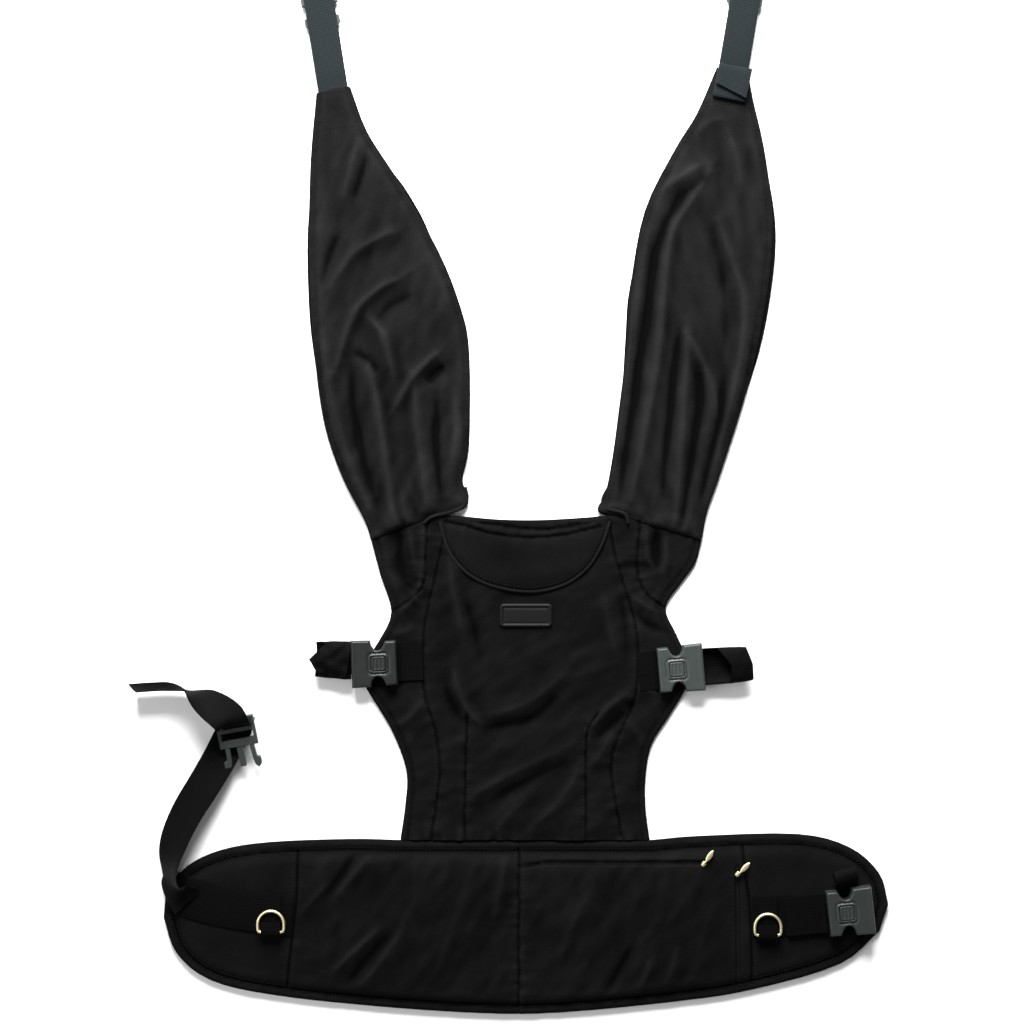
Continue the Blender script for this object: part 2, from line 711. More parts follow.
def split_at(line, x, left):
    """The part of a line on one side of an upright line."""
    rows = resampled(line, 3.0)
    kept = rows[:, 0] < x if left else rows[:, 0] >= x
    runs, run = [], []
    for p, keep in zip(rows, kept):
        if keep:
            run.append(p)
        elif run:
            runs.append(run)
            run = []
    runs.append(run)
    return [np.array(r) for r in runs if len(r) > 2]


def make_belt():
    """The two covers that meet at the centre seam, with their stitches."""
    for side, wing, line in (("left", "left_wing", LEFT_WING_X), ("right", "right_wing", RIGHT_WING_X)):
        left = side == "left"
        outline = clipped(BELT, 0, CENTRE_SEAM_X, not left)
        seams = BELT_SEAMS[:1] if left else [BELT_SEAMS[2], POCKET_SLIT[1:], SIDE_SLIT]
        cover = soft_form(f"belt_{side}_half", outline, 0.1, 2.5, lambda p, _: belt_height(p), seams)
        half = dress(cover, CLOTH)
        rows = [part for depth in (BORDER - 1.0, BORDER + 2.6)
                for part in split_at(ringed(BELT, depth), CENTRE_SEAM_X, left)]
        rows += [beside(run, off) for run, off in BELT_ROWS[side]]
        thread = stitches(f"belt_{side}_stitches", rows, belt_height)
        for piece in (half, thread):
            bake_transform(piece)
        if left:
            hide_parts("belt_lining", "belt_foam", "belt_cover_left", "wing_foam_left",
                        "wing_cover_left")
        else:
            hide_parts("belt_pocket_front", "belt_pocket_band", "wing_foam_right",
                        "wing_cover_right")


def zip_teeth(name, line, node):
    """A zip's coil: short crosswise teeth in the bottom of its slit."""
    row = resampled(line, 1.9)
    level = belt_height(row) + 0.2
    bm = bmesh.new()
    for a, b, z in zip(row, row[1:], level):
        turn = math.atan2(b[1] - a[1], b[0] - a[0])
        place = in_frame(a[0], a[1], math.degrees(turn), z)
        bmesh.ops.create_cube(bm, size=1.0, matrix=place @ Matrix.Diagonal((0.0012, 0.0034, 0.0011, 1)))
    mesh = bpy.data.meshes.new(name)
    bm.to_mesh(mesh)
    bm.free()
    teeth = dress(shown(mesh), ZIP_COIL)
    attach(teeth, "waist_belt")
    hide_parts(node)


# ---------- the panel ----------

PANEL_LEFT = [(-125, 84.6), (-120, 120), (-119, 154), (-134, 195), (-160, 238), (-164, 257), (-147, 283),
              (-134, 313), (-145, 350), (-154, 384)]
PANEL_RIGHT = [(125, 84.6), (121, 116), (121, 147), (127, 180), (145, 209), (163, 240), (164, 262),
               (152, 290), (141, 317), (157, 342), (171, 362), (177, 384)]
NECKLINE = [(115, 402), (100, 408), (84, 409.5), (60, 407.5), (15, 405), (-25, 405.5), (-60, 408.5),
            (-80, 409.5), (-98, 405)]
PANEL = joined(smooth(PANEL_RIGHT), smooth(NECKLINE), smooth(PANEL_LEFT)[::-1])
PANEL_SIDES = (smooth(PANEL_LEFT), smooth(PANEL_RIGHT))
PRINCESS_SEAMS = [
    smooth([(-94, 84.6), (-88, 125), (-85, 159), (-90, 195), (-101, 236), (-101, 295), (-88, 356),
            (-78, 405)]),
    smooth([(98, 84.6), (92, 116), (87, 147), (88, 172), (98, 198), (111, 231), (113, 285),
            (102, 330), (90, 370), (84, 405)]),
]
DARTS = [
    smooth([(-58, 209), (-59, 171), (-61, 85)]),
    smooth([(73, 212), (64, 197), (61, 171), (61, 85)]),
]
GATHERS = [
    smooth([(-134, 313), (-115, 325), (-101, 342), (-99, 370), (-98, 404)]),
    smooth([(141, 317), (122, 330), (113, 350), (113, 375), (115, 402)]),
]
PANEL_SEAMS = PRINCESS_SEAMS + DARTS + GATHERS
PANEL_FOLDS = [
    ([(-44, 208), (-20, 214), (6, 224), (32, 246), (48, 262)], 2.2, 9, 8),
    ([(-46, 196), (-18, 200), (10, 208), (34, 232)], -2.2, 7, 8),
    ([(-52, 130), (-24, 146), (4, 160), (40, 178), (58, 196)], 2.2, 9, 9),
    ([(-44, 118), (-16, 134), (16, 150), (48, 164)], -2.0, 7, 9),
    ([(-72, 258), (-67, 232), (-56, 212), (-44, 200)], 2.4, 7, 5),
    ([(-80, 240), (-74, 222), (-64, 206)], -1.8, 5, 6),
    ([(0, 92), (22, 112), (44, 138), (56, 166)], 1.8, 8, 8),
    ([(-30, 92), (-18, 108), (-2, 122)], 1.6, 7, 7),
    ([(64, 196), (84, 218), (108, 236)], 2.2, 6, 6),
    ([(70, 186), (92, 204), (112, 222)], -1.8, 6, 6),
    ([(66, 160), (80, 178), (88, 196)], 1.6, 6, 6),
    ([(-76, 388), (-74, 350), (-68, 318), (-60, 280)], 2.2, 7, 9),
    ([(-62, 330), (-52, 300), (-44, 262)], -2.0, 8, 8),
    ([(78, 330), (84, 300), (92, 264)], 1.8, 10, 8),
    ([(96, 330), (100, 300), (102, 270)], -1.4, 6, 6),
    ([(-101, 400), (-102, 372), (-103, 346), (-113, 325), (-128, 312)], 3.0, 5, 6),
    ([(-124, 392), (-126, 366), (-120, 342)], -2.8, 6, 7),
    ([(-116, 396), (-112, 370), (-108, 348)], 1.6, 4, 4),
    ([(-148, 372), (-138, 350), (-130, 328)], 1.8, 6, 6),
    ([(121, 396), (122, 376), (124, 364), (131, 356)], 2.6, 4, 3),
    ([(132, 396), (131, 374), (131, 352)], -3.4, 8, 8),
    ([(141, 390), (141, 366), (138, 344)], 1.6, 3, 7),
    ([(-112, 190), (-124, 176), (-132, 196)], 1.4, 7, 7),
    ([(-100, 226), (-120, 204), (-136, 198)], 1.8, 6, 6),
    ([(108, 196), (122, 176), (124, 150)], 1.6, 6, 6),
    ([(116, 238), (136, 232), (154, 240)], 1.4, 6, 6),
    ([(-110, 300), (-126, 292), (-140, 296)], 1.4, 6, 6),
    ([(110, 312), (124, 300), (146, 292)], -1.8, 5, 6),
    ([(104, 330), (122, 318), (140, 310)], 1.6, 5, 5),
]
PATCH_CENTRE, PATCH_SIZE = (1.0, 309.5), (53.0, 24.0)
# The height of the patch's underside
PATCH_BASE = 7.6


def panel_relief(points, _):
    sides = np.minimum(*(from_line(points, line)[0] for line in PANEL_SIDES))
    neck, _, _ = from_line(points, smooth(NECKLINE))
    body = 2.0 + (PANEL_TOP - 2.0) * swell((sides + 0.3) / 5.0) - 1.2 * np.exp(-((sides - 6.5) / 1.4) ** 2)
    roll = 2.6 * np.exp(-((neck - 3.5) / 3.5) ** 2) - 1.4 * np.exp(-((neck - 8.5) / 1.6) ** 2)
    roll *= np.exp(-(points[:, 0] / 92.0) ** 12)
    puff = 1.9 * swell((sides - 8) / 50.0)
    waves = 2.2 * ripple(points, 22, 38, 2.8, 12.3) + 1.0 * ripple(points, 10, 38, 2.2, 2.7)
    waves += puckers(points, PRINCESS_SEAMS + DARTS, 1.9, 8.0, 9.0, 61.0)
    waves += puckers(points, GATHERS, 2.4, 6.0, 12.0, 71.0)
    waves += puckers(points, [[(-124, PANEL_Y), (124, PANEL_Y)]], 2.0, 8.0, 10.0, 81.0)
    hardware = np.exp(-((np.abs(points[:, 0]) - 140) / 36.0) ** 4 - ((points[:, 1] - 260) / 26.0) ** 4)
    patch_x, patch_y = (points[:, 0] - PATCH_CENTRE[0]) / 34.0, (points[:, 1] - PATCH_CENTRE[1]) / 19.0
    patch = np.exp(-patch_x ** 8 - patch_y ** 8)
    quiet = np.clip(sides / 12, 0, 1) * np.clip(neck / 12, 0, 1)
    relief = (puff + (fold_relief(points, PANEL_FOLDS) + waves) * quiet) * (1 - 0.9 * hardware)
    relief = relief * (1 - patch) + (PATCH_BASE - 0.4 - PANEL_TOP) * patch
    return np.maximum(body + roll + relief + seam_relief(points, PANEL_SEAMS, 1.9, 1.4), 1.6)


def panel_height(points):
    return panel_relief(plan(points), None)


def make_panel():
    panel = dress(soft_form("front_panel", PANEL, 0.1, 1.2, panel_relief, PANEL_SEAMS), CLOTH)
    pairs = (PRINCESS_SEAMS, DARTS, GATHERS)
    lines = [beside(line, off) for pair in pairs for line, off in zip(pair, (3, -3))]
    lines = [line[line[:, 1] > PANEL_Y + 6] for line in lines]
    lines += [beside(line[2:-2], off) for line, off in zip(PANEL_SIDES, (-6.5, 6.5))]
    thread = stitches("panel_stitches", lines, panel_height)
    for piece in (panel, thread):
        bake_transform(piece)
    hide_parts("panel_lining", "panel_padding", "panel_centre", "panel_side_left",
                "panel_side_right",
                "upper_wing_left", "upper_wing_right")


def rounded_box(width, height, radius, steps=5):
    """A rectangle about the origin with rounded corners."""
    out = []
    for corner in range(4):
        sx = 1 if corner in (0, 3) else -1
        sy = 1 if corner in (0, 1) else -1
        centre = Vector((sx * (width / 2 - radius), sy * (height / 2 - radius)))
        for k in range(steps + 1):
            turn = math.radians(90 * corner + 90 * k / steps)
            out.append(centre + radius * Vector((math.cos(turn), math.sin(turn))))
    return out


def make_patch():
    """A blank moulded patch: a raised rim round a flat, slightly grained field."""
    outline = [p + Vector(PATCH_CENTRE) for p in rounded_box(*PATCH_SIZE, 4.0)]

    def relief(_, to_edge):
        rim = np.exp(-((to_edge - 2.2) / 0.9) ** 4)
        inner_line = 0.5 * np.exp(-((to_edge - 4.2) / 0.7) ** 2)
        return PATCH_BASE + 0.9 + 0.9 * swell(to_edge / 1.2) + rim - inner_line

    patch = dress(soft_form("blank_patch_plate", outline, PATCH_BASE - 0.6, 0.9, relief,
                            rings=(0.4, 0.9, 1.3, 2.2, 3.1, 3.8, 4.4, 5.2), step=1.4), RUBBER)
    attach(patch, "panel")
    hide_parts("blank_patch")


# ---------- the neck flap ----------

FLAP_LOWER = [(-85, NECK_FLAP_Y), (-81, 387), (-73, 369), (-55, 350), (-28, 338), (8, 333.5),
              (40, 341), (62, 357), (76, 379), (85, NECK_FLAP_Y)]
FLAP = joined(smooth(FLAP_LOWER))
FLAP_SEAMS = [smooth([(-79, 403), (-59, 399), (-31, 391), (3, 387.5), (41, 390.5), (75, 399)]),
              smooth([(-56, 405), (-31, 400.5), (15, 395.5), (50, 400), (68, 405)])]


def flap_relief(points, _):
    lower, _, _ = from_line(points, smooth(FLAP_LOWER))
    body = 8.4 + 5.4 * swell(lower / 18.0) * (0.45 + 0.55 * swell((NECK_FLAP_Y + 2 - points[:, 1]) / 26.0))
    waves = 1.2 * ripple(points, 20, 5, 2.6, 5.5) + puckers(points, FLAP_SEAMS, 1.4, 7.0, 8.0, 91.0)
    return body + waves * np.clip(lower / 10, 0, 1) + seam_relief(points, FLAP_SEAMS, 2.2, 1.8)


def flap_height(points):
    return flap_relief(plan(points), None)


def make_flap():
    flap = dress(soft_form("neck_flap_cover", FLAP, 7.2, 1.2, flap_relief, FLAP_SEAMS), CLOTH)
    edge = smooth(FLAP_LOWER, 6)
    piping = tube("neck_flap_piping", [(*p, 9.0) for p in edge], 1.9, BINDING)
    lines = [beside(edge, 4.2)[2:-2], beside(FLAP_SEAMS[0], -3)[1:-1]]
    thread = stitches("neck_flap_stitches", lines, flap_height)
    for piece in (flap, piping, thread):
        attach(piece, "neck_flap")
    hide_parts("neck_flap")


# ---------- the shoulder straps ----------

STRAP_SEAMS = {"left": ((-154, 384), (-98, 404)), "right": ((177, 384), (115, 402))}
STRAP_OUTER = {
    "left": smooth([(-154, 384), (-161, 405), (-184, 450), (-202, 505), (-212, 585), (-216, 675),
                    (-215, 760), (-209, 832)]),
    "right": smooth([(224, 854), (228, 828), (240, 775), (248, 705), (243, 635), (225, 545),
                     (197, 455), (183, 415), (177, 384)]),
}
STRAP_INNER = {
    "left": smooth([(-175, 839), (-158, 794), (-127, 745), (-87, 675), (-65, 620), (-56, 575), (-56, 480),
                    (-63, 446), (-57, 428), (-59, 418), (-74, 411), (-98, 404)]),
    "right": smooth([(115, 402), (98, 406), (84, 409), (75, 411.5), (73, 418), (81, 433), (88, 470),
                     (94, 515), (102, 580), (106, 640), (120, 715), (150, 776), (172, 812), (192, 858)]),
}
STRAPS = {"left": joined(STRAP_OUTER["left"], STRAP_INNER["left"]),
          "right": joined(STRAP_INNER["right"], STRAP_OUTER["right"])}
FOLDS = {
    "left": [
        ([(-123, 647), (-146, 634), (-166, 615), (-180, 582), (-190, 552)], 3.6, 4, 12),
        ([(-112, 630), (-136, 618), (-152, 600)], -2.0, 8, 8),
        ([(-155, 608), (-142, 589), (-134, 560), (-131, 544)], 2.6, 6, 5),
        ([(-84, 574), (-97, 562), (-112, 545), (-131, 514)], 3.4, 4, 8),
        ([(-80, 560), (-90, 551), (-98, 541)], -3.2, 6, 6),
        ([(-158, 570), (-154, 552), (-148, 525), (-142, 487), (-136, 440), (-129, 400)], 3.2, 5, 8),
        ([(-174, 566), (-172, 520), (-163, 470), (-150, 426)], -3.4, 9, 9),
        ([(-118, 556), (-111, 541), (-107, 493), (-101, 445), (-97, 414)], 3.6, 9, 7),
        ([(-88, 530), (-89, 490), (-87, 455), (-84, 426)], -3.2, 8, 7),
        ([(-203, 590), (-198, 545), (-186, 493), (-172, 450), (-160, 416)], 2.8, 7, 8),
        ([(-170, 572), (-158, 566), (-146, 552)], -2.2, 6, 5),
        ([(-166, 790), (-171, 768), (-176, 745), (-182, 720)], 2.2, 6, 6),
        ([(-158, 772), (-164, 748), (-172, 724)], -2.0, 6, 5),
        ([(-126, 694), (-150, 684), (-172, 668), (-196, 636)], 2.6, 5, 10),
        ([(-186, 690), (-196, 668), (-204, 640)], -2.0, 6, 6),
        ([(-110, 745), (-98, 712), (-84, 690)], 1.4, 10, 10),
        ([(-70, 530), (-68, 490), (-70, 455)], 2.2, 6, 6),
    ],
    "right": [
        ([(178, 744), (160, 731), (143, 706), (129, 665), (122, 610), (112, 545), (100, 470),
          (94, 424)], -4.4, 9, 8),
        ([(184, 752), (165, 722), (147, 692), (139, 638), (134, 572), (121, 498), (106, 425)], 3.0, 4, 9),
        ([(132, 730), (150, 743), (176, 760)], 2.6, 8, 9),
        ([(154, 594), (149, 560), (146, 520), (140, 470), (137, 430)], -2.8, 6, 5),
        ([(160, 592), (161, 560), (158, 510), (155, 450), (150, 410)], 3.2, 6, 7),
        ([(176, 556), (175, 520), (167, 468), (156, 402)], -3.4, 6, 7),
        ([(161, 590), (175, 566), (186, 536), (193, 500)], 2.4, 5, 6),
        ([(196, 540), (194, 505), (184, 460), (174, 415)], -2.8, 7, 6),
        ([(192, 704), (207, 660), (218, 625), (217, 578), (208, 530), (197, 482), (187, 424)], 3.4, 9, 7),
        ([(186, 690), (196, 650), (200, 600), (196, 560)], -1.8, 10, 9),
        ([(118, 690), (112, 640), (106, 590)], 2.0, 6, 6),
        ([(200, 800), (210, 770), (216, 735)], 1.8, 7, 7),
        ([(172, 792), (186, 804), (204, 806)], 1.4, 5, 5),
    ],
}
# The middle of each strap's tip, with the direction its webbing leaves in
STRAP_TIPS = {"left": (-192.0, 836.0, 99.0), "right": (208.5, 856.5, 80.5)}
# The centre and radius of the round mark
RING_MARK = (193.0, 792.0, 11.0)
# The rolled hem at each strap's root, as (x, y, height)
ROOT_RIMS = {"left": [(-60, 438, 4), (-58, 427, 5.5), (-63, 418, 8), (-75, 412.5, 11), (-92, 408.5, 11),
                      (-101, 402, 9)],
             "right": [(84, 438, 4), (78, 426, 5.5), (80, 417, 8), (91, 414, 11), (100, 410.5, 11),
                       (103, 402, 9)]}
# Where the lining shows past a strap: the edge, the middle and length of the stretch, and how far it shows
LINING_PEEKS = {"left": (("outer", 640, 70, 2.6), ("inner", 722, 26, 2.4)),
                "right": (("outer", 640, 90, 4.2), ("inner", 600, 40, 1.8))}


def strap_relief(side, points):
    """Full and rounded along its sides, low at the seam with the panel, and flat at its tip."""
    sides = np.minimum(*(from_line(points, run[side])[0] for run in (STRAP_OUTER, STRAP_INNER)))
    seam, _, _ = from_line(points, STRAP_SEAMS[side])
    tip_x, tip_y, _ = STRAP_TIPS[side]
    to_tip = np.hypot(points[:, 0] - tip_x, points[:, 1] - tip_y)
    seed, turn = (21.5, 70) if side == "left" else (33.5, 95)
    low = 3.0
    body = low + (STRAP_TOP - low) * swell((sides + 0.4) / 9.0)
    body = np.minimum(body, 6.4 + 4.6 * swell(seam / 10.0))
    puff = 3.2 * swell((sides - 8) / 40.0) * np.clip(seam / 12, 0, 1)
    waves = 2.4 * ripple(points, 24, turn, 2.8, seed) + 1.2 * ripple(points, 10, turn, 2.4, seed + 3)
    waves += puckers(points, [STRAP_SEAMS[side]], 3.4, 8.0, 26.0, seed + 7)
    waves += puckers(points, [STRAP_OUTER[side], STRAP_INNER[side]], 1.6, 12.0, 9.0, seed + 11)
    relief = (puff + fold_relief(points, FOLDS[side]) + waves) * np.clip(sides / 11, 0, 1)
    relief *= np.clip((to_tip - 18) / 60.0, 0.06, 1) * np.clip(seam / 6, 0.2, 1)
    hem = -0.9 * np.exp(-((sides - 5.0) / 1.3) ** 2)
    return np.maximum(body + relief + hem, low)


def make_strap_lining(side):
    """The thin layer under a strap, a little wider than it in places."""
    runs = {"outer": resampled(STRAP_OUTER[side], 6.0), "inner": resampled(STRAP_INNER[side], 6.0)}
    for which, middle, length, shows in LINING_PEEKS[side]:
        row = runs[which]
        runs[which] = row + left_of(row) * (shows * np.exp(-((row[:, 1] - middle) / length) ** 4))[:, None]
    order = ("outer", "inner") if side == "left" else ("inner", "outer")
    outline = joined(*(runs[k].tolist() for k in order))
    return soft_form(f"{side}_strap_lining", outline, 0.1, 1.6, lambda points, _: np.full(len(points), 1.9),
                     rings=(1.0, 3.0), step=8.0)


def make_strap(side):
    """A strap with its stitches, its lining and the rolled hem at its root."""
    outline = STRAPS[side]

    def relief(points, _):
        return strap_relief(side, points)

    def height(points):
        return strap_relief(side, plan(points))

    strap = dress(soft_form(f"{side}_shoulder_strap", outline, 0.1, 2.8, relief), STRAP_CLOTH)
    outer, inner = (Vector(p) for p in STRAP_SEAMS[side])
    across = Vector((-(inner - outer).y, (inner - outer).x)).normalized()
    across = across if across.y > 0 else -across
    # The rows beside the edges stop short of the root and the tip
    lines = [beside(STRAP_OUTER[side][3:-1], -5),
             beside(STRAP_INNER[side][3:-14] if side == "left" else STRAP_INNER[side][16:-2], -5)]
    x, y, r = RING_MARK
    if side == "left":
        box = [(-210, 794), (-163, 799), (-177, 834), (-208, 831), (-210, 794)]
        lines += [box, [(-183, 833), (-208, 798)], [(-166, 801), (-207, 828)]]
    else:
        for radius in (r, r - 3.4):
            lines.append([(x + radius * math.cos(t / 24 * math.tau),
                           y + radius * math.sin(t / 24 * math.tau))
                          for t in range(25)])
        lines.append([(180, 818), (228, 823)])
    thread = stitches(f"{side}_strap_stitches", lines, height)
    rim = tube(f"{side}_strap_root_rim", smooth(ROOT_RIMS[side], 5), 1.8, STRAP_CLOTH)
    lining = dress(make_strap_lining(side), CLOTH)
    for piece in (strap, thread, rim, lining):
        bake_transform(piece)
    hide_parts(f"strap_padding_{side}", f"strap_cover_{side}")


# ---------- webbing ----------

def tube(name, route, radius, look, closed=False, resolution=3):
    """A round cord along points in millimetres, as a mesh."""
    data = bpy.data.curves.new(name, "CURVE")
    data.dimensions = "3D"
    data.bevel_depth = radius * MM
    data.bevel_resolution = resolution
    data.use_fill_caps = not closed
    spline = data.splines.new("POLY")
    spline.points.add(len(route) - 1)
    for point, p in zip(spline.points, route):
        point.co = (p[0] * MM, p[1] * MM, p[2] * MM, 1)
    spline.use_cyclic_u = closed
    curve = bpy.data.objects.new(name, data)
    bpy.context.scene.collection.objects.link(curve)
    bpy.context.view_layer.update()
    mesh = bpy.data.meshes.new_from_object(curve.evaluated_get(bpy.context.evaluated_depsgraph_get()))
    bpy.data.objects.remove(curve, do_unlink=True)
    mesh.name = name
    mesh.shade_smooth()
    set_tone(mesh, np.full(len(mesh.vertices), 0.6))
    return dress(shown(mesh), look)


def seen_from(place, path):
    """A path of (along, up) points in a turned frame at (x, y, degrees), as points in the plan."""
    x, y, degrees = place
    return [Vector((x, y, z)) + heading(degrees) * u for u, z in path]


def make_shoulder_webbing(side):
    """The webbing from under the strap's tip, round the buckle's rear bar and back beneath itself."""
    tip = STRAP_TIPS[side]
    path = smooth([(-10, 7.6), (2.0, 8.2), (20, 9.4), (60, 9.9), (111, 9.8), (117.4, 8.9), (119, 5.4),
                   (117.4, 2.1), (112, 1.1), (106, 1.1)], 6)
    rows = strip_rows(seen_from(tip, path), [heading(tip[2], across=True)] * len(path), 30.0)
    piece = thick_grid(f"{side}_shoulder_tape", rows, WEBBING_THICK, TAPES["shoulder_" + side])
    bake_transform(piece)
    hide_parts(f"shoulder_webbing_{side}")


# The middle of the spare webbing's roll and its direction, and how far its last rows slant at the sides
ROLL_AT, ROLL_SLANT = (206.5, 841.0, 78.0), 4.5


def make_roll():
    """Spare webbing folded twice on the right strap's tip and tacked down, its end cut on a slant."""
    path = smooth([(13, 11.4), (-12, 11.4), (-16, 13.2), (-13.5, 15.2), (12, 15.4), (15.5, 16.8),
                   (12.5, 18.4), (2, 18.6), (-9, 18.5)], 5)
    across = heading(ROLL_AT[2], across=True)
    rows = strip_rows(seen_from(ROLL_AT, path), [across] * len(path), 33.0, bow=-0.5)
    for row in rows[-4:]:
        for t, point in zip(ACROSS, row):
            point += heading(ROLL_AT[2]) * (t * ROLL_SLANT)
    piece = thick_grid("right_webbing_fold", rows, 1.4, TAPES["shoulder_right"])
    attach(piece, "right_strap")
    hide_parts("webbing_roll_right")


def draped(route, width, height, lift, bow=0.3):
    """Rows of a strip lying on a surface, a little above it."""
    line = [Vector((*p[:2], 0)) for p in smooth(route, 6)]
    rows = []
    for k, here in enumerate(line):
        along = (line[min(k + 1, len(line) - 1)] - line[max(k - 1, 0)]).normalized()
        across = Vector((-along.y, along.x, 0))
        spots = [here + across * (t * width / 2) for t in ACROSS]
        level = height(spots)
        level = 0.5 * level + 0.5 * level.max()
        heights = [z + lift + bow * (1 - t * t) for z, t in zip(level, ACROSS)]
        rows.append([Vector((p.x, p.y, z)) for p, z in zip(spots, heights)])
    return rows


def make_belt_webbing():
    """The sewn webbing on the two wings."""
    route = [(-232.5, 9.5), (-263, 13), (-295, 18), (-325, 25), (-344, 31), (-353, 34)]
    left = draped(route, 40.0, belt_height, 1.0)
    piece = thick_grid("left_wing_tape", left, WEBBING_THICK, TAPES["belt_left"])
    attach(piece, "left_wing")
    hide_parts("belt_webbing_left")
    right = draped([(227, 9.0), (245, 9.5), (258, 10.5), (266, 11)], 41.0, belt_height, 0.9)
    sewn = thick_grid("right_wing_tape", right, WEBBING_THICK, TAPES["belt_sewn"])
    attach(sewn, "right_wing")
    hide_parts("belt_webbing_right_sewn")
    lines = [[(261, -8), (262, 30)], [(264, -8), (265, 30)]]
    thread = stitches("right_wing_tape_stitches", lines, lambda spots: np.full(len(spots), 13.6))
    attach(thread, "right_wing")


# The free strap's route as (x, y, height), and the direction across its width at each point
FREE_STRAP = [(-336, 24, 14.4), (-343, 31, 15.4), (-349, 38, 17), (-351.5, 47, 20.5), (-352.5, 58, 21),
              (-352, 70, 20.5), (-349, 84, 19), (-343.5, 99, 17.5), (-334, 118, 16.5), (-321, 139, 15.5),
              (-307, 163, 12), (-298, 181, 8), (-291, 196, 5), (-287, 206, 10), (-287.5, 203, 21),
              (-288.5, 202, 30), (-290, 207, 34), (-297, 213.5, 33), (-307, 220, 29), (-320, 228, 24),
              (-335, 235.5, 20.5), (-350, 238.5, 19), (-368, 238.5, 19), (-390, 237, 19)]
FREE_SIDEWAYS = [(0.25, 0.97, 0.05), (0.3, 0.85, 0.35), (0.35, 0.6, 0.65), (0.5, 0.3, 0.85),
                 (0.6, 0.0, 0.8),
                 (0.7, -0.2, 0.65), (0.8, -0.3, 0.5), (0.85, -0.35, 0.4), (0.88, -0.4, 0.3),
                 (0.88, -0.45, 0.2),
                 (0.9, -0.4, 0.1), (0.95, -0.25, 0), (0.98, 0, 0), (0.98, 0.15, 0), (0.98, 0.17, 0),
                 (0.98, 0.17, 0), (0.98, 0.1, 0), (0.85, 0.45, -0.2), (0.55, 0.6, -0.5),
                 (0.35, 0.45, -0.85),
                 (0.1, -0.15, -0.98), (0, -0.33, -0.94), (0, -0.33, -0.94), (0, -0.33, -0.94)]


def make_free_strap():
    """The belt's free strap, from under the wing's tape over the male buckle's bar to its tail."""
    fine = smooth(FREE_STRAP, 6)
    rows = strip_rows(fine, smooth(FREE_SIDEWAYS, 6), 34.0, bow=-0.8)
    rows = [[Vector((p.x, p.y, max(p.z, 1.0))) for p in row] for row in rows]
    strap = thick_grid("belt_strap", rows, WEBBING_THICK, TAPES["belt_free"])
    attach(strap, "left_wing")
    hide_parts("belt_strap_free")


# ---------- elastic safety loops ----------

# The height that the side keepers stand on
SIDE_LOOP_BASE = 6.2


def hood(name, place, reach, height, half_width, near, far, look, crumple=0.0):
    """An elastic keeper beside a buckle: a flat band that turns back over itself as a low arch.

    The lower layer runs from the buckle to reach. The upper layer's edges, at its top side, its middle and
    its lower side, are near (towards the buckle) and far (away from it).
    """
    x, y, degrees = place
    along, aside = heading(degrees), heading(degrees, across=True)
    around, rows = 36, []
    for i in range(around):
        t = 2 * math.pi * i / around
        v, w = math.cos(t), math.sin(t)
        upper = min(1.0, 4 * max(w, 0))
        start = np.interp(v, (-1, 0, 1), near[::-1]) * upper
        end = np.interp(v, (-1, 0, 1), far[::-1]) * upper + reach * (1 - upper)
        row = []
        for k in range(11):
            share = k / 10
            u = start + (end - start) * share
            z = height * (0.5 + 0.5 * np.sign(w) * abs(w) ** 0.8) * (1 - 0.15 * share ** 2) + 0.6
            across = half_width * v * (1 - 0.08 * share ** 2)
            dent = crumple * noise.noise(Vector((u / 7, across / 9, 4.2 + w)))
            level = max(SIDE_LOOP_BASE + z + dent, 1.0)
            row.append(Vector((x, y, level)) + along * u + aside * across)
        rows.append(row)
    return thick_grid(name, rows, 1.1, look, looped=True)


def make_loops():
    """The keepers beside the side buckles, and the belt's rolled loop."""
    right = hood("right_keeper", (175.5, 258.5, 4.0), 46.0, 14.0, 18.0, (17, 30, 27), (46, 51, 51),
                 TAPES["elastic_right"], 0.8)
    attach(right, "right_side_buckle")
    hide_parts("safety_loop_right")
    left = hood("left_keeper", (-173.0, 265.0, 178.0), 36.0, 13.0, 18.5, (5, 2, 1), (31, 42, 25),
                TAPES["elastic_left"], 4.5)
    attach(left, "left_side_buckle")
    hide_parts("safety_loop_left")
    # The belt's loop is a roll standing on its edge beside the buckle's upper notch
    centre, turn, radius, half_width = Vector((318.5, 51.5, 20.0)), 12, 6.6, 12.5
    along = (heading(turn) + Vector((0, 0, -0.32))).normalized()
    side = heading(turn, across=True)
    rows = []
    for k in range(30):
        t = math.radians(-130 + 380 * k / 29)
        grown = radius * (1 + 0.05 * k / 29)
        ring = centre + side * (math.cos(t) * grown) + Vector((0, 0, math.sin(t) * grown * 0.92))
        rows.append([ring + along * (half_width * u) for u in ACROSS])
    foot = [centre + side * (-6.5 - 4 * k) + Vector((0, 0, -6 - 0.2 * k)) for k in (3, 2, 1)]
    rows = [[p + along * (half_width * u) for u in ACROSS] for p in foot] + rows
    belt = thick_grid("belt_keeper", rows, 1.1, TAPES["elastic_belt"])
    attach(belt, "right_wing")
    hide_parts("safety_loop_belt")


# ---------- hardware ----------

# One side of a housing's outline, from its rear to its mouth
HOUSING_HALF = [(-22.8, 21.6), (-12.6, 21.6), (-10.4, 17.0), (-8.0, 13.8), (-4.4, 12.6), (-1.0, 13.6),
                (1.8, 17.4), (3.4, 22.6), (21.8, 23.2)]
# The lock pad: its middle, the frame round it, the well in the frame, the key in the well and its underside
PAD_AT, PAD_SIZE, WELL_SIZE, KEY_SIZE, KEY_LOW = -5.0, 20.0, 15.6, 13.8, 1.55
